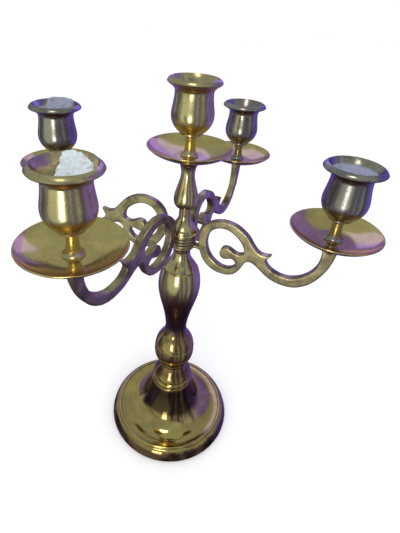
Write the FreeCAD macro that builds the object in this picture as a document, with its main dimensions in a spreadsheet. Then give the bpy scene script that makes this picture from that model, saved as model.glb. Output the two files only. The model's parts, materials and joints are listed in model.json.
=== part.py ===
import FreeCAD, Part
import math
import os
import Sketcher

# Five-light brass candelabra, turned and cast in brass.
# Frame: +Z up, origin on the column's axis in the plane of the foot. Lengths are in millimetres,
# angles in degrees. Azimuths are counted from +X towards +Y.

V = FreeCAD.Vector

# How far the tangent arcs of an outline may lie from the smooth curve through its points
ARC_TOLERANCE = 0.06

doc = FreeCAD.newDocument("Candelabra")

# ---------------------------------------------------------------------------------------------
# Driving dimensions
# ---------------------------------------------------------------------------------------------

SIZES = [
    # Tie rod and its hardware
    ("rod_radius", 2.95),
    ("rod_bore_radius", 3.03),
    ("rod_bottom", 33.0),
    ("rod_top", 258.0),
    ("washer_radius", 10.0),
    ("washer_thickness", 1.6),
    ("nut_across_corners", 11.5),
    ("nut_height", 5.0),
    # Base
    ("base_radius", 59.0),
    ("foot_inner_radius", 54.8),
    ("base_ceiling", 43.0),
    ("cone_radius", 19.2),
    ("base_top", 72.8),
    ("waist_radius", 12.2),
    # Column above the base
    ("waist_ring_top", 76.4),
    ("knop_radius", 18.3),
    ("knop_top", 115.8),
    ("knop_top_radius", 10.1),
    ("baluster_radius", 17.7),
    ("baluster_neck_radius", 6.9),
    ("baluster_top", 208.9),
    ("baluster_seat_radius", 9.5),
    ("eyelet_height", 2.7),
    ("eyelet_radius", 10.6),
    ("collar_radius", 12.5),
    ("collar_neck_radius", 4.5),
    ("collar_top", 241.0),
    ("pear_radius", 9.2),
    ("pear_cap_radius", 9.6),
    ("pear_top", 280.0),
    # Candle cups
    ("socket_radius", 11.25),
    ("socket_floor", 24.0),
    ("socket_length", 18.0),
    ("cup_foot_radius", 6.4),
    ("cup_neck_radius", 3.4),
    ("cup_ring_radius", 7.8),
    ("cup_belly_radius", 14.4),
    ("cup_throat_radius", 12.7),
    ("lip_radius", 19.0),
    ("lip_height", 48.9),
    ("mouth_radius", 16.2),
    ("mouth_height", 51.6),
    ("centre_lip_radius", 18.0),
    ("centre_mouth_radius", 15.2),
    # Drip pans
    ("pan_radius", 30.0),
    ("pan_height", 8.6),
    ("pan_thickness", 1.2),
    ("pan_flat_radius", 9.5),
    # Studs that carry the cups
    ("stud_radius", 1.95),
    ("stud_hole_radius", 2.02),
    ("stud_depth", 8.0),
    ("stud_length", 13.6),
    # Arms
    ("arm_reach", 106.0),
    ("arm_thickness", 5.8),
    ("arm_seat_height", 248.2),
    ("arm_seat_radius", 5.9),
    ("arm_seat_collar", 1.7),
    ("arm_seat_neck", 8.0),
    ("arm_web_width", 5.6),
    ("arm_web_length", 13.0),
]

# Each arm's name, its azimuth, and its place in the stack of eyelets, counted from the top.
ARMS = [
    ("front_left", 214.5, 0),
    ("back_left", 141.0, 1),
    ("back_right", 42.0, 2),
    ("front_right", 317.0, 3),
]

sheet = doc.addObject("Spreadsheet::Sheet", "Sizes")
for row, (alias, value) in enumerate(SIZES, start=1):
    sheet.set(f"A{row}", alias)
    sheet.set(f"B{row}", str(value))
    sheet.setAlias(f"B{row}", alias)
doc.recompute()


def size(alias):
    """The number in a cell of the sheet."""
    return float(sheet.get(alias))


def number(value):
    """A coordinate: a number as it is, or the cell that a name stands for."""
    return size(value) if isinstance(value, str) else float(value)


def bind(feature, **properties):
    """Bind properties of a feature to expressions of the sheet's cells."""
    for name, expression in properties.items():
        feature.setExpression(name, expression)


# ---------------------------------------------------------------------------------------------
# Sketches
# ---------------------------------------------------------------------------------------------

def plane_of(body, role):
    """One of the body's own origin planes."""
    for item in body.Origin.OriginFeatures:
        if item.Role == role:
            return item
    raise ValueError(role)


def new_sketch(body, name, role):
    sketch = body.newObject("Sketcher::SketchObject", name)
    sketch.AttachmentSupport = [(plane_of(body, role), "")]
    sketch.MapMode = "FlatFace"
    return sketch


def end_at(sketch, geometry, point):
    """Which end of a sketch edge lies on a point: 1 for its start, 2 for its end."""
    distances = [sketch.getPoint(geometry, end).distanceToPoint(point) for end in (1, 2)]
    return 1 + distances.index(min(distances))


def pin_to_cells(sketch, geometry, end, point):
    """Hold one end of a sketch edge at the cells that its coordinates name."""
    for kind, value in zip(("DistanceX", "DistanceY"), point):
        if isinstance(value, str):
            rule = Sketcher.Constraint(kind, -1, 1, geometry, end, size(value))
            index = sketch.addConstraint(rule)
            sketch.setExpression(f"Constraints[{index}]", f"Sizes.{value}")


def add_loop(sketch, start, segments):
    """Draw a closed outline.

    A segment is a list of points after the last one: one point is a straight line, and more are a
    smooth curve through them, drawn as arcs that are tangent to each other. A coordinate is a
    number or the name of a cell. A straight line closes the outline unless its last segment ends
    at the start.
    """
    if segments[-1][-1] != start:
        segments = segments + [[start]]
    here = start
    first = None
    previous = None
    for points in segments:
        path = [V(number(a), number(b), 0) for a, b in [here] + points]
        if len(path) == 2:
            edges = [Part.LineSegment(path[0], path[1])]
        else:
            curve = Part.BSplineCurve()
            curve.interpolate(path)
            edges = curve.toBiArcs(ARC_TOLERANCE)
        corner = path[0]
        for edge in edges:
            geometry = sketch.addGeometry(edge)
            near = end_at(sketch, geometry, corner)
            far = 3 - near
            if previous:
                sketch.addConstraint(Sketcher.Constraint("Coincident", *previous, geometry, near))
            else:
                first = (geometry, near)
            previous = (geometry, far)
            corner = sketch.getPoint(geometry, far)
        if points[-1] != start:
            pin_to_cells(sketch, *previous, points[-1])
        here = points[-1]
    sketch.addConstraint(Sketcher.Constraint("Coincident", *previous, *first))
    pin_to_cells(sketch, *first, start)


def turned(label, start, segments):
    """A piece turned about the column's axis, from its half section in X and Z."""
    body = doc.addObject("PartDesign::Body", label)
    body.Label = label
    sketch = new_sketch(body, label + "_section", "XZ_Plane")
    add_loop(sketch, start, segments)
    revolution = body.newObject("PartDesign::Revolution", label + "_revolution")
    revolution.Profile = sketch
    revolution.ReferenceAxis = (sketch, ["V_Axis"])
    revolution.Angle = 360
    body.Tip = revolution
    return body


# ---------------------------------------------------------------------------------------------
# Column
# ---------------------------------------------------------------------------------------------

def make_base():
    """Cast foot, hollow below: a rolled rim, a dished plate, a cone and a beaded collar."""
    top_of_plate = [(49, 11.6), (44, 12.2), (36, 15.4), (28.6, 21.8), (23.8, 30.6), (20.8, 41)]
    return turned("base", ("rod_bore_radius", "base_ceiling"), [
        [(14.5, "base_ceiling")],
        [(17.4, 33), (21.4, 23.6), (27, 15.6), (35, 11), (43, 8.8), (49.5, 8)],
        [("foot_inner_radius", 3)],
        [("foot_inner_radius", 0)],
        [(58, 0)],
        [(58.8, 0.8), ("base_radius", 2.2)],
        [(58.3, 4.8), (56.9, 8), (55.3, 10), (53.3, 10.9)],
        [(53, 12.2), (51.9, 12.8), (50.7, 12.4)],
        [(50.2, 11.6)],
        top_of_plate + [("cone_radius", 50)],
        [(19.7, 50.8), (19.4, 51.8), (18.6, 52.3)],
        [(19.2, 53.6), (19.3, 55), (18.7, 56.6)],
        [(17.8, 57.1)],
        [(17.9, 59), (16.7, 63), (13.9, 67.8), (12.7, 70.8)],
        [("waist_radius", "base_top")],
        [("rod_bore_radius", "base_top")],
    ])


def make_waist_ring():
    """Plain spacer ring between the base's collar and the knop."""
    return turned("waist_ring", ("rod_bore_radius", "base_top"), [
        [(11.4, "base_top")],
        [(12.3, 73.8), (12.3, 75.4), (11.4, "waist_ring_top")],
        [("rod_bore_radius", "waist_ring_top")],
    ])


def make_knop():
    """Flattened ball with one turned line above its middle."""
    return turned("knop", ("rod_bore_radius", "waist_ring_top"), [
        [(13.2, "waist_ring_top")],
        [(14, 77), (14, 78)],
        [(16.3, 82.2), (17.9, 87.2), ("knop_radius", 92.6), (18, 97.6)],
        [(17.3, 98.3)],
        [(17.6, 99)],
        [(16.6, 103.4), (14.1, 108.2), (11.2, 112.6), ("knop_top_radius", "knop_top")],
        [("rod_bore_radius", "knop_top")],
    ])


def make_baluster():
    """Main stem: a slender vase with a turned line at its shoulder and a small seat on top."""
    return turned("baluster", ("rod_bore_radius", "knop_top"), [
        [(9.9, "knop_top")],
        [(9.5, 120), (10.1, 128.6), (12.2, 140.4), (15.6, 153.6), ("baluster_radius", 167.4),
         (16.7, 178.8), (14.6, 185.8)],
        [(13.6, 186.4)],
        [(13.8, 187.1)],
        [(11.2, 191), (8.3, 195.6), ("baluster_neck_radius", 200.6), (7.3, 204.2), (9, 206.8)],
        [(9.5, 207.4)],
        [("baluster_seat_radius", "baluster_top")],
        [("rod_bore_radius", "baluster_top")],
    ])


def make_collar(bottom):
    """Bell-shaped collar that clamps the arms' eyelets from above."""
    return turned("hub_collar", ("rod_bore_radius", bottom), [
        [(10.6, bottom)],
        [(11.7, bottom + 0.2)],
        [("collar_radius", bottom + 1.1), (11.9, bottom + 2)],
        [(11.2, bottom + 2.2)],
        [(10.7, bottom + 4.2), (8, bottom + 7.4), (5.3, bottom + 11.4), (4.5, bottom + 16)],
        [("collar_neck_radius", "collar_top")],
        [("rod_bore_radius", "collar_top")],
    ])


def make_upper_stem():
    """Pear-shaped stem: blind hole for the tie rod below, tapped hole for the cup's stud above."""
    stud_hole_floor = size("pear_top") - size("stud_depth") - 0.4
    return turned("upper_stem", (0, "rod_top"), [
        [("rod_bore_radius", "rod_top")],
        [("rod_bore_radius", "collar_top")],
        [(4.6, "collar_top")],
        [(6.6, 241.8), (8.3, 243.8), ("pear_radius", 247.6), (8.6, 252.2), (7.1, 258), (5.4, 264.6),
         (5.1, 269.8), (6.1, 274), (8.1, 277)],
        [(9.3, 277.9)],
        [("pear_cap_radius", 278.5)],
        [("pear_cap_radius", 279.4)],
        [(9.2, "pear_top")],
        [("stud_hole_radius", "pear_top")],
        [("stud_hole_radius", stud_hole_floor)],
        [(0, stud_hole_floor)],
    ])


def make_tie_rod():
    """Threaded rod that holds the column together, from the nut in the foot to the upper stem."""
    rod = doc.addObject("Part::Cylinder", "tie_rod")
    rod.Label = "tie_rod"
    bind(rod, Radius="Sizes.rod_radius", Height="Sizes.rod_top - Sizes.rod_bottom")
    rod.setExpression("Placement.Base.z", "Sizes.rod_bottom")
    return rod


def ring_of(label, blank, hole_radius):
    """Bore a round hole through a blank that stands on the column's axis."""
    drill = doc.addObject("Part::Cylinder", label + "_drill")
    bind(drill, Radius=hole_radius, Height="Sizes.base_top")
    ring = doc.addObject("Part::Cut", label)
    ring.Label = label
    ring.Base = blank
    ring.Tool = drill
    return ring


def make_washer():
    """Flat washer against the ceiling of the hollow base."""
    blank = doc.addObject("Part::Cylinder", "washer_blank")
    bind(blank, Radius="Sizes.washer_radius", Height="Sizes.washer_thickness")
    blank.setExpression("Placement.Base.z", "Sizes.base_ceiling - Sizes.washer_thickness")
    return ring_of("base_washer", blank, "Sizes.rod_bore_radius")


def make_nut():
    """Hexagon nut below the washer."""
    blank = doc.addObject("Part::Prism", "nut_blank")
    blank.Polygon = 6
    bind(blank, Circumradius="Sizes.nut_across_corners / 2", Height="Sizes.nut_height")
    below_washer = "Sizes.base_ceiling - Sizes.washer_thickness - Sizes.nut_height"
    blank.setExpression("Placement.Base.z", below_washer)
    return ring_of("base_nut", blank, "Sizes.rod_bore_radius")


# ---------------------------------------------------------------------------------------------
# Lights: stud, drip pan and candle cup, each drawn with its lowest face at height 0
# ---------------------------------------------------------------------------------------------

def make_stud(label):
    """Threaded stud from the seat, through the pan, into the foot of the cup."""
    stud = doc.addObject("Part::Cylinder", label)
    stud.Label = label
    bind(stud, Radius="Sizes.stud_radius", Height="Sizes.stud_length")
    return stud


def make_pan(label):
    """Spun drip pan: a flat middle and a bowl that opens to a plain rim."""
    wall = size("pan_thickness")
    return turned(label, ("stud_hole_radius", 0), [
        [("pan_flat_radius", 0)],
        [(16, 0.7), (22.5, 2.9), (27.4, 5.6), (29.7, 7.7)],
        [("pan_radius", 8.2), (29.6, 8.6), (29, 8.4)],
        [(26.4, 6.4), (21.6, 4.0), (15.6, 1.9), (9.5, wall)],
        [("stud_hole_radius", "pan_thickness")],
    ])


def make_cup(label, lip_radius, mouth_radius):
    """Turned candle cup: trumpet foot, thin neck, bellied body, spreading lip, straight socket.

    The lip's and the mouth's radii are given as the names of their cells.
    """
    lip = size(lip_radius)
    stud_hole_top = size("stud_length") - size("stud_depth") - size("pan_thickness") + 0.6
    socket_top = size("socket_floor") + size("socket_length")
    return turned(label, (0, stud_hole_top), [
        [("stud_hole_radius", stud_hole_top)],
        [("stud_hole_radius", 0)],
        [("cup_foot_radius", 0)],
        [("cup_foot_radius", 0.7)],
        [(5, 1.9), (3.9, 4.6), ("cup_neck_radius", 8.6), (3.6, 12), (4.6, 14.2), (6.8, 15.2)],
        [("cup_ring_radius", 15.5)],
        [("cup_ring_radius", 16.5)],
        [(10.2, 18.4), (12.6, 21.4), ("cup_belly_radius", 27), (13.8, 33.4), (12.9, 39.4),
         ("cup_throat_radius", 42.6)],
        [(13.3, 44.6), (15.4, 46.6), (lip - 0.4, 48.2)],
        [(lip_radius, "lip_height")],
        [(lip - 1.1, 50.6), (mouth_radius, "mouth_height")],
        [(size(mouth_radius) - 1.6, 49), (12.4, 45.6), ("socket_radius", socket_top)],
        [("socket_radius", "socket_floor")],
        [(0, "socket_floor")],
    ])


def place(piece, azimuth, reach, height):
    """Stand a piece at a distance from the column, at a height, turned to an azimuth."""
    angle = math.radians(azimuth)
    position = V(reach * math.cos(angle), reach * math.sin(angle), height)
    piece.Placement = FreeCAD.Placement(position, FreeCAD.Rotation(V(0, 0, 1), azimuth))


def make_light(name, azimuth, reach, seat, lip_radius="lip_radius", mouth_radius="mouth_radius"):
    """Stud, pan and cup on a seat."""
    stud = make_stud(name + "_stud")
    place(stud, azimuth, reach, seat - size("stud_depth"))
    pan = make_pan(name + "_pan")
    place(pan, azimuth, reach, seat)
    cup = make_cup(name + "_cup", lip_radius, mouth_radius)
    place(cup, azimuth, reach, seat + size("pan_thickness"))
    return [stud, pan, cup]


# ---------------------------------------------------------------------------------------------
# Arms
# ---------------------------------------------------------------------------------------------

def scroll_outline(sketch):
    """Flat outline of an arm that leads out along +X: a ring scroll, a spur and a rising hook."""
    seat = size("arm_seat_height")
    top = seat - size("arm_seat_collar")
    spur_notch = (66.4, 218.4)
    spur_tip = (70.2, 224.4)
    crotch = (51.6, 212.6)
    add_loop(sketch, (111.6, top), [
        [(100.4, top)],
        [(101.8, 237), (101.8, 228), (98.4, 219.6), (91.6, 212.8), (83, 209.7), (75, 211),
         (69.2, 214.4), spur_notch],
        [(67.6, 221.2), spur_tip],
        [(65.8, 223.2), (61.4, 223.6), (57.2, 227), (52.4, 233), (44.4, 239.4), (34, 242.3),
         (22.8, 239.6), (15.8, 232.8), (13.7, 222.7), (15.2, 212.5), (19.9, 203.5), (27.7, 198),
         (36.5, 196.7), (43.8, 199), (48.5, 205), crotch],
        [(54.8, 214.2), (60, 212.2), (69, 205.9), (79, 202.5), (90, 203.3), (99.6, 209.8),
         (106.4, 220.4), (110.2, 232.6), (111.6, top)],
    ])


def scroll_opening(sketch):
    """Opening of the ring scroll, with the club-shaped curl that reaches into it."""
    curl_top = (49.8, 219.8)
    curl_root = (44.6, 208.6)
    add_loop(sketch, curl_top, [
        [(48.6, 225.6), (42.2, 232.6), (33.3, 236.4), (24.2, 233), (20.3, 222.6), (22.8, 211.8),
         (30, 204.6), (38.4, 202.8), curl_root],
        [(43.6, 211.4), (41, 212.6), (37.4, 211.4), (33.6, 211.2), (31.4, 214.8), (32.8, 219.6),
         (37, 221), (42, 218.6), (46.4, 218), curl_top],
    ])


def make_arm(name, azimuth, place_in_stack):
    """Cast arm with the eyelet that goes on the tie rod."""
    label = name + "_arm"
    middle_of_stack = size("baluster_top") + size("eyelet_height") * len(ARMS) / 2
    eyelet_bottom = middle_of_stack - size("eyelet_height") / 2
    reach = size("arm_reach")
    body = doc.addObject("PartDesign::Body", label)
    body.Label = label

    outline = new_sketch(body, label + "_outline", "XZ_Plane")
    scroll_outline(outline)
    scroll_opening(outline)
    bar = body.newObject("PartDesign::Pad", label + "_bar")
    bar.Profile = outline
    bar.SideType = "Symmetric"
    bind(bar, Length="Sizes.arm_thickness")

    seat_neck = body.newObject("PartDesign::AdditiveCone", label + "_seat_neck")
    bind(seat_neck, Radius1="Sizes.arm_thickness / 2", Radius2="Sizes.arm_seat_radius")
    bind(seat_neck, Height="Sizes.arm_seat_neck")
    neck_bottom = size("arm_seat_height") - size("arm_seat_collar") - size("arm_seat_neck")
    seat_neck.Placement.Base = V(reach, 0, neck_bottom)
    seat = body.newObject("PartDesign::AdditiveCylinder", label + "_seat")
    bind(seat, Radius="Sizes.arm_seat_radius", Height="Sizes.arm_seat_collar")
    seat.Placement.Base = V(reach, 0, size("arm_seat_height") - size("arm_seat_collar"))

    web = body.newObject("PartDesign::AdditiveBox", label + "_web")
    bind(web, Length="Sizes.arm_web_length", Width="Sizes.arm_web_width", Height="Sizes.eyelet_height")
    web_start = size("rod_bore_radius") + 1
    web.Placement.Base = V(web_start, -size("arm_web_width") / 2, eyelet_bottom)
    eyelet = body.newObject("PartDesign::AdditiveCylinder", label + "_eyelet")
    bind(eyelet, Radius="Sizes.eyelet_radius", Height="Sizes.eyelet_height")
    eyelet.Placement.Base = V(0, 0, eyelet_bottom)

    bore = body.newObject("PartDesign::SubtractiveCylinder", label + "_bore")
    bind(bore, Radius="Sizes.rod_bore_radius", Height="Sizes.eyelet_height")
    bore.Placement.Base = V(0, 0, eyelet_bottom)
    tapping = body.newObject("PartDesign::SubtractiveCylinder", label + "_tapping")
    bind(tapping, Radius="Sizes.stud_hole_radius", Height="Sizes.stud_depth + 0.4")
    tapping.Placement.Base = V(reach, 0, size("arm_seat_height") - size("stud_depth") - 0.4)
    body.Tip = tapping

    rise = ((len(ARMS) - 1) / 2 - place_in_stack) * size("eyelet_height")
    place(body, azimuth, 0, rise)
    return body, size("arm_seat_height") + rise


# ---------------------------------------------------------------------------------------------
# Assembly
# ---------------------------------------------------------------------------------------------

pieces = [make_base(), make_waist_ring(), make_knop(), make_baluster()]
pieces.append(make_collar(size("baluster_top") + size("eyelet_height") * len(ARMS)))
pieces += [make_upper_stem(), make_tie_rod(), make_washer(), make_nut()]
pieces += make_light(
    "centre", 0, 0, size("pear_top"), "centre_lip_radius", "centre_mouth_radius")
for arm_name, arm_azimuth, stack_place in ARMS:
    arm, arm_seat = make_arm(arm_name, arm_azimuth, stack_place)
    pieces.append(arm)
    pieces += make_light(arm_name, arm_azimuth, size("arm_reach"), arm_seat)

doc.recompute()

for item in doc.Objects:
    if "Invalid" in item.State or "Error" in item.State:
        raise RuntimeError(f"{item.Label} failed: {item.State}")
for piece in pieces:
    if piece.Shape.isNull() or not piece.Shape.isValid() or not piece.Shape.Solids:
        raise RuntimeError(f"{piece.Label} has no valid solid")

os.makedirs("parts", exist_ok=True)
for piece in pieces:
    piece.Shape.exportStep(f"parts/{piece.Label}.step")
    print(f"{piece.Label:20s} volume {piece.Shape.Volume:10.1f}  solids {len(piece.Shape.Solids)}")
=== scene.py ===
import json
import math

import bmesh
import bpy
from mathutils import Matrix, Vector, noise


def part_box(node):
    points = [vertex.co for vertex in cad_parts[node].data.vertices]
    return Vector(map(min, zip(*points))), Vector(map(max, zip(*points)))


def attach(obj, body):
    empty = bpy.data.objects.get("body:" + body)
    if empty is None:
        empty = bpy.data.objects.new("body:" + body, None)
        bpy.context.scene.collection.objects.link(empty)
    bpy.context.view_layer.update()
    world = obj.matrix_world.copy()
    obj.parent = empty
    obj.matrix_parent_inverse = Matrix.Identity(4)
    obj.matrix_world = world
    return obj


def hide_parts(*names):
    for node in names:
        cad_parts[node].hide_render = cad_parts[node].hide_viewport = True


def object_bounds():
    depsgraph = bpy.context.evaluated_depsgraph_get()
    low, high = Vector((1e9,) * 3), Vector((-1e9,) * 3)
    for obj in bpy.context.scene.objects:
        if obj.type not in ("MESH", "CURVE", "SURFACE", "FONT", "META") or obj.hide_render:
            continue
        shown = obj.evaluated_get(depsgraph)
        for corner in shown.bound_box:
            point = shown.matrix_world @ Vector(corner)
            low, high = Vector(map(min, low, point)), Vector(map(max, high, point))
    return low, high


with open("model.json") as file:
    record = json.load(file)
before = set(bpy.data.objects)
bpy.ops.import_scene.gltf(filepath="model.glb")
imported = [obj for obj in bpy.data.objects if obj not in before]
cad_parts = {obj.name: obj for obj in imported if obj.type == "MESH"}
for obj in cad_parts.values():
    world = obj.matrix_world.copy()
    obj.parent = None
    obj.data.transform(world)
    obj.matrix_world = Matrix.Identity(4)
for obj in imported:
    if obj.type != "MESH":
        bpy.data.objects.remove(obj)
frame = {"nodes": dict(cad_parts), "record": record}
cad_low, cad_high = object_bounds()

# Five-light brass candelabra. Lengths are metres in the model's own frame, angles are degrees.

MM = 0.001
LIGHTS = ("centre", "front_left", "back_left", "back_right", "front_right")
ARMS = LIGHTS[1:]

# Camera: close to the object and above it, a little to the left, tipped clockwise
CAMERA_AZIMUTH = -22.6
CAMERA_ELEVATION = 31.3
CAMERA_DISTANCE = 0.3005
CAMERA_ROLL = 4.57
CAMERA_LENS = 25.93
CAMERA_SHIFT = (0.0316, -0.0607)
# Share of the object's height that the camera aims at
AIM_SHARE = 0.6523

# Azimuth and elevation of the window that the metal reflects
WINDOW = (-55, -8)

# Cast arms: voxel of the rounded copy, smoothing passes, and the relief left by the sand mould
CAST_VOXEL = 0.5 * MM
CAST_SMOOTHING = 12
CAST_RELIEF = 0.09 * MM
CAST_RELIEF_SCALE = 160

# Inside of a candle cup, a little within its wall, in heights above the cup's foot
SOCKET_RADIUS = 11.2 * MM
SOCKET_TOP = 42 * MM
MOUTH_RADIUS = 16.0 * MM
MOUTH_HEIGHT = 51.6 * MM

# Wax: gap to the cup's wall, height of its underside, steepest rise from the wall to the middle,
# and the divisions of its mesh
WAX_GAP = 0.1 * MM
WAX_UNDERSIDE = 32 * MM
WAX_STEEPEST = 30 * MM
WAX_RINGS = 36
WAX_SEGMENTS = 120

# Half the width of the studio floor, and its gap below the foot
FLOOR_REACH = 6
FLOOR_GAP = 0.1 * MM


# ---------------------------------------------------------------------------------------------
# Node trees
# ---------------------------------------------------------------------------------------------

def add_node(tree, kind, inputs=None, **settings):
    """A node with its settings, and its inputs set to values or linked to sockets."""
    item = tree.nodes.new(kind)
    for name, value in settings.items():
        setattr(item, name, value)
    for name, value in (inputs or {}).items():
        if isinstance(value, bpy.types.NodeSocket):
            tree.links.new(value, item.inputs[name])
        else:
            item.inputs[name].default_value = value
    return item


def math_node(tree, operation, *values):
    """The result of an operation on one or two numbers or sockets."""
    item = add_node(tree, "ShaderNodeMath", dict(enumerate(values)), operation=operation)
    return item.outputs[0]


def ramp(tree, factor, stops):
    """Colours along a factor: stops are (place, colour)."""
    item = add_node(tree, "ShaderNodeValToRGB", {"Fac": factor})
    elements = item.color_ramp.elements
    while len(elements) < len(stops):
        elements.new(1)
    for element, (place, colour) in zip(elements, stops):
        element.position = place
        element.color = (*colour, 1)
    return item.outputs["Color"]


def step_up(tree, value, low, high):
    """0 below low, 1 above high and a smooth step between them."""
    item = add_node(
        tree, "ShaderNodeMapRange", {"Value": value, "From Min": low, "From Max": high},
        interpolation_type="SMOOTHSTEP",
    )
    return item.outputs["Result"]


def mix_colours(tree, factor, first, second, blend="MIX"):
    """Two colours mixed. Each may be a socket or three numbers."""
    item = add_node(tree, "ShaderNodeMix", {"Factor": factor}, data_type="RGBA", blend_type=blend)
    for index, value in ((6, first), (7, second)):
        if isinstance(value, bpy.types.NodeSocket):
            tree.links.new(value, item.inputs[index])
        else:
            item.inputs[index].default_value = (*value, 1)
    return item.outputs[2]


def new_material(name):
    """A material with its node tree and its shader."""
    material = bpy.data.materials.new(name)
    material.use_nodes = True
    return material, material.node_tree, material.node_tree.nodes["Principled BSDF"]


# ---------------------------------------------------------------------------------------------
# Materials
# ---------------------------------------------------------------------------------------------

def brass(name, bright, dark, polish, specks=0.3, lathe=0.0, wear_and_highlight=None, cloud_scale=45,
          painted_reflection_bands=None):
    """Brass with clouded tarnish, fine specks, turned lines and, on castings, lighter edges (worn
    brass and painted highlight) and darker hollows (painted shade).

    polish is the (lowest, highest) roughness, specks and lathe are strengths from 0 to 1,
    wear_and_highlight is the colour of the lighter edges, partly worn brass and partly painted
    highlight, and painted_reflection_bands is a list of (height in millimetres, tint): bands
    painted by height, a painted reflection of the dark table and room on the column.
    """
    material, tree, shader = new_material(name)
    place = add_node(tree, "ShaderNodeTexCoord").outputs["Object"]
    cloud = add_node(
        tree, "ShaderNodeTexNoise",
        {"Vector": place, "Scale": cloud_scale, "Detail": 6, "Roughness": 0.6, "Distortion": 0.4},
    ).outputs["Fac"]
    grime = step_up(tree, cloud, 0.38, 0.68)
    colour = mix_colours(tree, grime, bright, dark)
    if painted_reflection_bands:
        # Bands by height multiply the colour: painted reflection, dark and violet where the column
        # reflects the dark table and room
        height = add_node(tree, "ShaderNodeSeparateXYZ", {"Vector": place}).outputs["Z"]
        height = math_node(tree, "ADD", height, math_node(tree, "MULTIPLY", cloud, 2 * MM))
        share = math_node(tree, "DIVIDE", math_node(tree, "SUBTRACT", height, 1 * MM), cad_high.z)
        stops = [(level * MM / cad_high.z, tint) for level, tint in painted_reflection_bands]
        colour = mix_colours(tree, 1.0, colour, ramp(tree, share, stops), blend="MULTIPLY")

    speck_cells = add_node(
        tree, "ShaderNodeTexNoise", {"Vector": place, "Scale": 620, "Detail": 2, "Roughness": 0.7}
    ).outputs["Fac"]
    speck = math_node(tree, "MULTIPLY", step_up(tree, speck_cells, 0.60, 0.70), specks)
    colour = mix_colours(tree, speck, colour, [0.35 * part for part in dark])

    if wear_and_highlight:
        edge = add_node(tree, "ShaderNodeNewGeometry").outputs["Pointiness"]
        # Lighter edges: partly worn brass, partly painted highlight
        worn_and_highlit = math_node(tree, "MULTIPLY", step_up(tree, edge, 0.51, 0.60), 0.8)
        colour = mix_colours(tree, worn_and_highlit, colour, wear_and_highlight)
        # Darker hollows: painted shade
        shaded_hollow = math_node(tree, "SUBTRACT", 1.0, step_up(tree, edge, 0.40, 0.49))
        colour = mix_colours(tree, math_node(tree, "MULTIPLY", shaded_hollow, 0.7), colour, dark)
    tree.links.new(colour, shader.inputs["Base Color"])

    lowest, highest = polish
    rough = add_node(
        tree, "ShaderNodeMapRange", {"Value": cloud, "To Min": lowest, "To Max": highest,
                                     "From Min": 0.3, "From Max": 0.7},
    ).outputs["Result"]
    rough = math_node(tree, "ADD", rough, math_node(tree, "MULTIPLY", speck, 0.35))
    tree.links.new(rough, shader.inputs["Roughness"])

    scratches = add_node(
        tree, "ShaderNodeTexNoise",
        {"Vector": place, "Scale": 260, "Detail": 4, "Roughness": 0.65, "Distortion": 1.2},
    ).outputs["Fac"]
    lines = add_node(
        tree, "ShaderNodeTexWave",
        {"Vector": place, "Scale": 420, "Distortion": 1.5, "Detail": 2, "Detail Scale": 4},
        wave_type="BANDS", bands_direction="Z",
    ).outputs["Fac"]
    relief = math_node(tree, "ADD", scratches, math_node(tree, "MULTIPLY", lines, lathe))
    relief = math_node(tree, "ADD", relief, math_node(tree, "MULTIPLY", speck, -0.8))
    bump = add_node(
        tree, "ShaderNodeBump", {"Height": relief, "Strength": 0.12, "Distance": 0.0002}
    ).outputs["Normal"]
    tree.links.new(bump, shader.inputs["Normal"])
    shader.inputs["Metallic"].default_value = 1.0
    # The mauve specular tint turns grazing reflections violet: a painted reflection of a violet room
    shader.inputs["Specular Tint"].default_value = (0.86, 0.76, 0.94, 1)
    return material


def steel(name):
    """Zinc-plated steel, dulled and spotted."""
    material, tree, shader = new_material(name)
    place = add_node(tree, "ShaderNodeTexCoord").outputs["Object"]
    cloud = add_node(
        tree, "ShaderNodeTexNoise", {"Vector": place, "Scale": 380, "Detail": 5, "Roughness": 0.7}
    ).outputs["Fac"]
    colour = ramp(tree, cloud, [(0.3, (0.20, 0.17, 0.14)), (0.5, (0.42, 0.41, 0.40)),
                                (0.7, (0.56, 0.56, 0.57))])
    tree.links.new(colour, shader.inputs["Base Color"])
    rough = add_node(
        tree, "ShaderNodeMapRange", {"Value": cloud, "To Min": 0.5, "To Max": 0.28}
    ).outputs["Result"]
    tree.links.new(rough, shader.inputs["Roughness"])
    bump = add_node(tree, "ShaderNodeBump", {"Height": cloud, "Strength": 0.2, "Distance": 0.0002})
    tree.links.new(bump.outputs["Normal"], shader.inputs["Normal"])
    shader.inputs["Metallic"].default_value = 1.0
    return material


def wax(name, clean, soiled):
    """Old candle wax: cloudy, slightly translucent, with soot and brass-stained patches."""
    material, tree, shader = new_material(name)
    place = add_node(tree, "ShaderNodeTexCoord").outputs["Object"]
    cloud = add_node(
        tree, "ShaderNodeTexNoise",
        {"Vector": place, "Scale": 210, "Detail": 7, "Roughness": 0.62, "Distortion": 0.8},
    ).outputs["Fac"]
    colour = mix_colours(tree, step_up(tree, cloud, 0.46, 0.74), clean, soiled)
    crumbs = add_node(
        tree, "ShaderNodeTexVoronoi", {"Vector": place, "Scale": 420}, feature="F1"
    ).outputs["Distance"]
    colour = mix_colours(tree, step_up(tree, crumbs, 0.35, 0.8), colour, [1.08 * c for c in clean])
    tree.links.new(colour, shader.inputs["Base Color"])
    rough = add_node(
        tree, "ShaderNodeMapRange", {"Value": cloud, "To Min": 0.28, "To Max": 0.6}
    ).outputs["Result"]
    tree.links.new(rough, shader.inputs["Roughness"])
    relief = math_node(tree, "ADD", cloud, math_node(tree, "MULTIPLY", crumbs, 0.5))
    bump = add_node(tree, "ShaderNodeBump", {"Height": relief, "Strength": 0.5, "Distance": 0.0006})
    tree.links.new(bump.outputs["Normal"], shader.inputs["Normal"])
    shader.inputs["Subsurface Weight"].default_value = 0.25
    shader.inputs["Subsurface Radius"].default_value = (0.004, 0.003, 0.003)
    shader.inputs["Subsurface Scale"].default_value = 1.0
    return material


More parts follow.
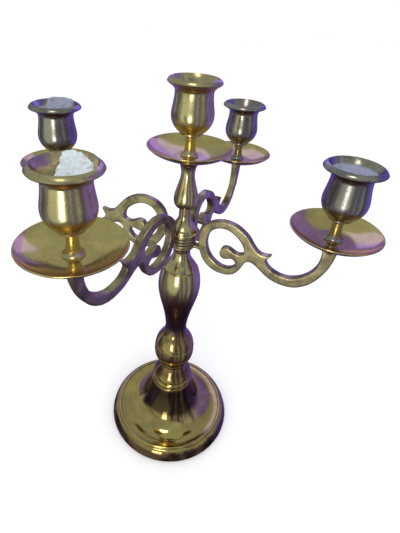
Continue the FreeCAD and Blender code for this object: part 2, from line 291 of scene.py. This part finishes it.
def floor_paint():
    """Matt white paper with a faint mottle."""
    material, tree, shader = new_material("studio_paper")
    place = add_node(tree, "ShaderNodeTexCoord").outputs["Object"]
    cloud = add_node(tree, "ShaderNodeTexNoise", {"Vector": place, "Scale": 6}).outputs["Fac"]
    colour = ramp(tree, cloud, [(0.3, (0.93, 0.93, 0.93)), (0.7, (0.96, 0.96, 0.96))])
    tree.links.new(colour, shader.inputs["Base Color"])
    shader.inputs["Roughness"].default_value = 0.9
    return material


# ---------------------------------------------------------------------------------------------
# Studio
# ---------------------------------------------------------------------------------------------

def direction(azimuth, elevation):
    """Unit vector from the object towards a place, azimuth 0 in front (-Y), 90 at the right (+X)."""
    a, e = math.radians(azimuth), math.radians(elevation)
    return Vector((math.sin(a) * math.cos(e), -math.cos(a) * math.cos(e), math.sin(e)))


def add_camera():
    """Camera that looks down at the middle of the column from the left of the front."""
    aim = Vector((0, 0, AIM_SHARE * cad_high.z))
    back = direction(CAMERA_AZIMUTH, CAMERA_ELEVATION)
    data = bpy.data.cameras.new("camera")
    data.lens = CAMERA_LENS
    data.shift_x, data.shift_y = CAMERA_SHIFT
    data.clip_start, data.clip_end = 0.01, 20
    camera = bpy.data.objects.new("camera", data)
    bpy.context.scene.collection.objects.link(camera)
    turn = back.to_track_quat("Z", "Y").to_matrix() @ Matrix.Rotation(
        math.radians(CAMERA_ROLL), 3, "Z")
    camera.matrix_world = Matrix.Translation(aim + back * CAMERA_DISTANCE) @ turn.to_4x4()
    bpy.context.scene.camera = camera


def add_floor():
    """Pale floor. The metal reflects the room in the world below, not the paper."""
    mesh = bpy.data.meshes.new("floor")
    shape = bmesh.new()
    bmesh.ops.create_grid(shape, x_segments=2, y_segments=2, size=FLOOR_REACH)
    shape.to_mesh(mesh)
    shape.free()
    floor = bpy.data.objects.new("floor", mesh)
    floor.location.z = cad_low.z - FLOOR_GAP
    mesh.materials.append(floor_paint())
    bpy.context.scene.collection.objects.link(floor)
    floor.visible_glossy = False


def add_softbox(name, azimuth, elevation, distance, width, height, power, colour):
    """Rectangular lamp that faces the middle of the object. power is in watts."""
    data = bpy.data.lights.new(name, "AREA")
    data.shape = "RECTANGLE"
    data.size, data.size_y = width, height
    data.energy = power
    data.color = colour
    lamp = bpy.data.objects.new(name, data)
    middle = Vector((0, 0, AIM_SHARE * cad_high.z))
    towards = direction(azimuth, elevation)
    lamp.location = middle + towards * distance
    lamp.rotation_euler = towards.to_track_quat("Z", "Y").to_euler()
    bpy.context.scene.collection.objects.link(lamp)


def add_world():
    """White surroundings, and in reflections a dim room.

    The room has a pale ceiling, a window, dark ground, and walls that turn violet at the right
    and at the far side.
    """
    world = bpy.data.worlds.new("studio")
    bpy.context.scene.world = world
    world.use_nodes = True
    tree = world.node_tree
    tree.nodes.clear()
    towards = add_node(tree, "ShaderNodeTexCoord").outputs["Generated"]
    x, y, z = add_node(tree, "ShaderNodeSeparateXYZ", {"Vector": towards}).outputs
    wobble = add_node(
        tree, "ShaderNodeTexNoise", {"Vector": towards, "Scale": 2.2, "Detail": 3}
    ).outputs["Fac"]

    # The ceiling starts higher towards the right (+X) and towards the front (-Y)
    right = math_node(tree, "MAXIMUM", x, 0.0)
    front = math_node(tree, "MAXIMUM", math_node(tree, "MULTIPLY", y, -1.0), 0.0)
    height = math_node(tree, "SUBTRACT", z, math_node(tree, "MULTIPLY", right, 0.75))
    height = math_node(tree, "SUBTRACT", height, math_node(tree, "MULTIPLY", front, 0.5))
    height = math_node(tree, "ADD", height, math_node(tree, "MULTIPLY", wobble, 0.2))

    bearing = math_node(tree, "ARCTAN2", y, x)
    stripes = add_node(
        tree, "ShaderNodeTexNoise",
        {"Vector": add_node(tree, "ShaderNodeCombineXYZ",
                            {"X": bearing, "Y": math_node(tree, "MULTIPLY", z, 0.25)}).outputs[0],
         "Scale": 2.4, "Detail": 2, "Roughness": 0.6},
    ).outputs["Fac"]
    furniture = ramp(tree, stripes, [
        (0.38, (0.05, 0.045, 0.10)), (0.50, (0.17, 0.175, 0.24)),
        (0.60, (0.44, 0.52, 0.60)), (0.68, (0.20, 0.21, 0.33))])
    violet = mix_colours(tree, wobble, (0.11, 0.08, 0.40), (0.31, 0.25, 1.02))
    right_or_far = math_node(tree, "ADD", x, math_node(tree, "MULTIPLY", y, 0.9))
    walls = mix_colours(tree, step_up(tree, right_or_far, 0.15, 0.75), furniture, violet)
    facing = add_node(
        tree, "ShaderNodeVectorMath", {0: towards, 1: direction(*WINDOW)}, operation="DOT_PRODUCT"
    ).outputs["Value"]
    window = mix_colours(tree, wobble, (0.44, 0.52, 0.46), (0.70, 0.80, 0.68))
    walls = mix_colours(tree, step_up(tree, facing, 0.78, 0.90), walls, window)
    ground = mix_colours(tree, step_up(tree, z, -0.92, -0.5), (0.05, 0.03, 0.06), walls)
    ceiling = mix_colours(tree, wobble, (0.16, 0.19, 0.20), (0.46, 0.54, 0.54))
    room = mix_colours(tree, step_up(tree, height, 0.15, 0.20), ground, ceiling)

    glossy = add_node(tree, "ShaderNodeLightPath").outputs["Is Glossy Ray"]
    colour = mix_colours(tree, glossy, (1.12, 1.12, 1.12), room)
    background = add_node(tree, "ShaderNodeBackground", {"Color": colour, "Strength": 1.0})
    output = add_node(tree, "ShaderNodeOutputWorld")
    tree.links.new(background.outputs[0], output.inputs["Surface"])
    # Light sampling would show the white surroundings to rough metal too
    world.cycles.sampling_method = "NONE"


# ---------------------------------------------------------------------------------------------
# Castings
# ---------------------------------------------------------------------------------------------

def link_mesh(name, mesh, material):
    """A smooth-shaded object in the scene, made from a mesh."""
    piece = bpy.data.objects.new(name, mesh)
    mesh.materials.clear()
    mesh.materials.append(material)
    for face in mesh.polygons:
        face.use_smooth = True
    bpy.context.scene.collection.objects.link(piece)
    return piece


def rounded_casting(node, material):
    """A copy of a cast piece with softened edges and the slight relief of a sand casting."""
    draft = bpy.data.objects.new(node + "_draft", frame["nodes"][node].data.copy())
    bpy.context.scene.collection.objects.link(draft)
    remesh = draft.modifiers.new("remesh", "REMESH")
    remesh.mode = "VOXEL"
    remesh.voxel_size = CAST_VOXEL
    soften = draft.modifiers.new("soften", "SMOOTH")
    soften.factor = 0.5
    soften.iterations = CAST_SMOOTHING
    shown = draft.evaluated_get(bpy.context.evaluated_depsgraph_get())
    mesh = bpy.data.meshes.new_from_object(shown)
    bpy.data.objects.remove(draft)
    normals = [normal.vector.copy() for normal in mesh.vertex_normals]
    for vertex, normal in zip(mesh.vertices, normals):
        vertex.co += normal * (CAST_RELIEF * noise.noise(vertex.co * CAST_RELIEF_SCALE))
    return link_mesh(node.replace("_arm", "_cast_arm"), mesh, material)


# ---------------------------------------------------------------------------------------------
# Wax
# ---------------------------------------------------------------------------------------------

def smooth_between(low, high, value):
    """0 below low, 1 above high and a smooth step between them."""
    t = min(max((value - low) / (high - low), 0), 1)
    return t * t * (3 - 2 * t)


def cup_wall(height):
    """Inner radius of a cup at a height above its foot: straight socket, then flaring mouth."""
    flare = min(max((height - SOCKET_TOP) / (MOUTH_HEIGHT - SOCKET_TOP), 0), 1)
    return SOCKET_RADIUS + (MOUTH_RADIUS - SOCKET_RADIUS) * flare ** 1.25


def wax_remains(light, level, material):
    """Wax left in a cup. level(p) is its height above the cup's foot at a point of the cup."""
    low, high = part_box(light + "_cup")
    centre = (low + high) / 2
    foot = Vector((centre.x, centre.y, low.z))
    rows = []
    for ring in range(WAX_RINGS + 1):
        share = ring / WAX_RINGS
        row = []
        for segment in range(WAX_SEGMENTS):
            angle = 2 * math.pi * segment / WAX_SEGMENTS
            out = Vector((math.cos(angle), math.sin(angle), 0))
            edge = level(out * SOCKET_RADIUS)
            reach = cup_wall(edge) - WAX_GAP
            point = out * (reach * share)
            point.z = min(level(point), edge + (1 - share) * WAX_STEEPEST)
            row.append(point)
        rows.append(row)
    skirt = [Vector((p.x, p.y, 0)).normalized() * (SOCKET_RADIUS - WAX_GAP) for p in rows[-1]]
    rows.append([Vector((s.x, s.y, min(SOCKET_TOP - 1 * MM, p.z - 1 * MM)))
                 for s, p in zip(skirt, rows[-1])])
    rows.append([Vector((s.x, s.y, WAX_UNDERSIDE)) for s in skirt])

    shape = bmesh.new()
    middle = shape.verts.new(foot + Vector((0, 0, level(Vector((0, 0, 0))))))
    loops = [[shape.verts.new(foot + p) for p in row] for row in rows[1:]]
    for index in range(WAX_SEGMENTS):
        after = (index + 1) % WAX_SEGMENTS
        shape.faces.new((middle, loops[0][index], loops[0][after]))
        for inner, outer in zip(loops, loops[1:]):
            shape.faces.new((inner[index], outer[index], outer[after], inner[after]))
    shape.faces.new(list(reversed(loops[-1])))
    mesh = bpy.data.meshes.new(light + "_wax")
    shape.to_mesh(mesh)
    shape.free()
    return link_mesh(light + "_wax", mesh, material)


def crumple(point, scale, seed):
    """Even noise from -1 to 1 over a cup's mouth."""
    return noise.fractal(point * scale + Vector((seed, 0, 0)), 0.9, 2.1, 4)


# Level directions to the right of the view and away from it, which the broken wax is laid along
VIEW_RIGHT = Vector((math.cos(math.radians(CAMERA_AZIMUTH)),
                     math.sin(math.radians(CAMERA_AZIMUTH)), 0))
VIEW_AWAY = Vector((-VIEW_RIGHT.y, VIEW_RIGHT.x, 0))


def front_left_level(point):
    """A broken stub: deep at the left, a crumbly cliff, then up over the rim at the far side."""
    across = point.dot(VIEW_RIGHT)
    away = point.dot(VIEW_AWAY)
    step = smooth_between(-7.5 * MM, -5 * MM, across + 1.5 * MM * crumple(point, 260, 3))
    top = 46.5 * MM + 0.38 * away - 0.08 * across + 1.3 * MM * crumple(point, 330, 11)
    return 36 * MM + step * (top - 36 * MM)


def back_left_level(point):
    """A low lump that stands above the rim at the far side."""
    across = point.dot(VIEW_RIGHT)
    away = point.dot(VIEW_AWAY)
    lump = smooth_between(-2 * MM, 8 * MM, away) * (
        1 - smooth_between(8 * MM, 12 * MM, abs(across - 1.5 * MM)))
    return (47.5 * MM + lump * (5 * MM + 1.3 * MM * crumple(point, 240, 5))
            + 0.4 * MM * crumple(point, 380, 8))


def back_right_level(point):
    """A thin, nearly level pool in the socket."""
    return 43 * MM + 0.6 * MM * crumple(point, 380, 21)


def front_right_level(point):
    """Full to just below the rim, sunk a little in the middle."""
    sunk = 1 - smooth_between(2 * MM, 11 * MM, point.length)
    return 47.6 * MM - 1.4 * MM * sunk + 0.35 * MM * crumple(point, 300, 31)


# ---------------------------------------------------------------------------------------------
# Build
# ---------------------------------------------------------------------------------------------

# Tints by height for the foot and the stem, a painted reflection: dark and violet bands where the
# metal reflects the dark table and violet room, pale bands between: (height in millimetres, tint)
COLUMN_PAINTED_REFLECTION = [
    (8.4, (0.22, 0.16, 0.26)), (10.4, (0.95, 0.95, 0.9)), (19, (1, 1, 0.95)),
    (25, (0.17, 0.13, 0.19)), (48, (0.11, 0.08, 0.13)), (52, (0.70, 0.66, 0.64)),
    (58, (0.8, 0.75, 0.7)),
    (66, (0.35, 0.28, 0.36)), (80, (0.85, 0.82, 0.8)), (108, (0.75, 0.7, 0.72)),
    (122, (0.30, 0.22, 0.38)), (146, (0.30, 0.22, 0.38)), (164, (0.75, 0.7, 0.75)),
    (178, (1, 1, 1)),
]
BASE_BRASS = brass("base_brass", (0.74, 0.56, 0.20), (0.58, 0.42, 0.17), (0.05, 0.12),
                   specks=0.15, lathe=0.10, painted_reflection_bands=COLUMN_PAINTED_REFLECTION)
STEM_BRASS = brass("stem_brass", (0.80, 0.63, 0.31), (0.54, 0.41, 0.21), (0.10, 0.22),
                   specks=0.3, lathe=0.25, painted_reflection_bands=COLUMN_PAINTED_REFLECTION)
CUP_BRASS = brass("cup_brass", (0.79, 0.63, 0.31), (0.60, 0.47, 0.25), (0.15, 0.28),
                  specks=0.6, lathe=0.35)
# A darker, greyer copy of the cup brass: painted shade for the three outer cups
SHADED_CUP_BRASS = brass("shaded_cup_brass", (0.50, 0.44, 0.34), (0.33, 0.29, 0.27), (0.14, 0.26),
                       specks=0.6, lathe=0.35)
PAN_BRASS = brass("pan_brass", (0.86, 0.66, 0.24), (0.72, 0.54, 0.21), (0.10, 0.20),
                  specks=0.35, lathe=0.2)
ARM_BRASS = brass("arm_brass", (0.64, 0.51, 0.27), (0.30, 0.22, 0.14), (0.24, 0.40),
                  specks=0.5, wear_and_highlight=(0.84, 0.68, 0.36), cloud_scale=90)
STEEL = steel("zinc_steel")

FINISH_OF_SLOT = {
    "base_brass": BASE_BRASS,
    "stem_brass": STEM_BRASS,
    "cup_brass": CUP_BRASS,
    "pan_brass": PAN_BRASS,
    "arm_brass": ARM_BRASS,
    "steel": STEEL,
}


# Cups given the darker, greyer brass, painted shade that makes them darker than the centre one and
# the front left one
SHADED_CUPS = ("back_left_cup", "back_right_cup", "front_right_cup")


def finish_nodes():
    """Give every CAD node the finish of the record's slot that it is in."""
    for entry in frame["record"]["subparts"]:
        node = entry["node"]
        # The three outer cups get the darker, greyer copy of the cup brass: painted shade
        finish = SHADED_CUP_BRASS if node in SHADED_CUPS else FINISH_OF_SLOT[entry["material_slot"]]
        mesh = frame["nodes"][node].data
        mesh.materials.clear()
        mesh.materials.append(finish)


bpy.context.scene.view_settings.view_transform = "Standard"
add_camera()
add_floor()
add_world()
add_softbox("key_softbox", -38, 62, 1.1, 0.24, 0.24, 1.2, (1.0, 0.98, 0.92))
add_softbox("front_softbox", -36, -6, 0.60, 0.15, 0.28, 0.55, (0.93, 1.0, 1.0))
add_softbox("violet_softbox", 143, 36, 0.46, 0.26, 0.26, 0.22, (0.27, 0.21, 1.0))
finish_nodes()

for arm in ARMS:
    node = arm + "_arm"
    casting = rounded_casting(node, ARM_BRASS)
    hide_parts(node)
    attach(casting, node)

PALE_WAX = wax("pale_wax", (0.58, 0.66, 0.70), (0.50, 0.38, 0.36))
# A darker, grey-blue copy of the wax: painted shade for wax that sits in dim light
SHADED_GREY_WAX = wax("shaded_grey_wax", (0.25, 0.27, 0.36), (0.15, 0.155, 0.20))
BROWN_WAX = wax("brown_wax", (0.36, 0.22, 0.15), (0.16, 0.10, 0.08))
for light, level, material in (
    ("front_left", front_left_level, PALE_WAX),
    ("back_left", back_left_level, SHADED_GREY_WAX),
    ("back_right", back_right_level, BROWN_WAX),
    ("front_right", front_right_level, SHADED_GREY_WAX),
):
    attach(wax_remains(light, level, material), light + "_cup")
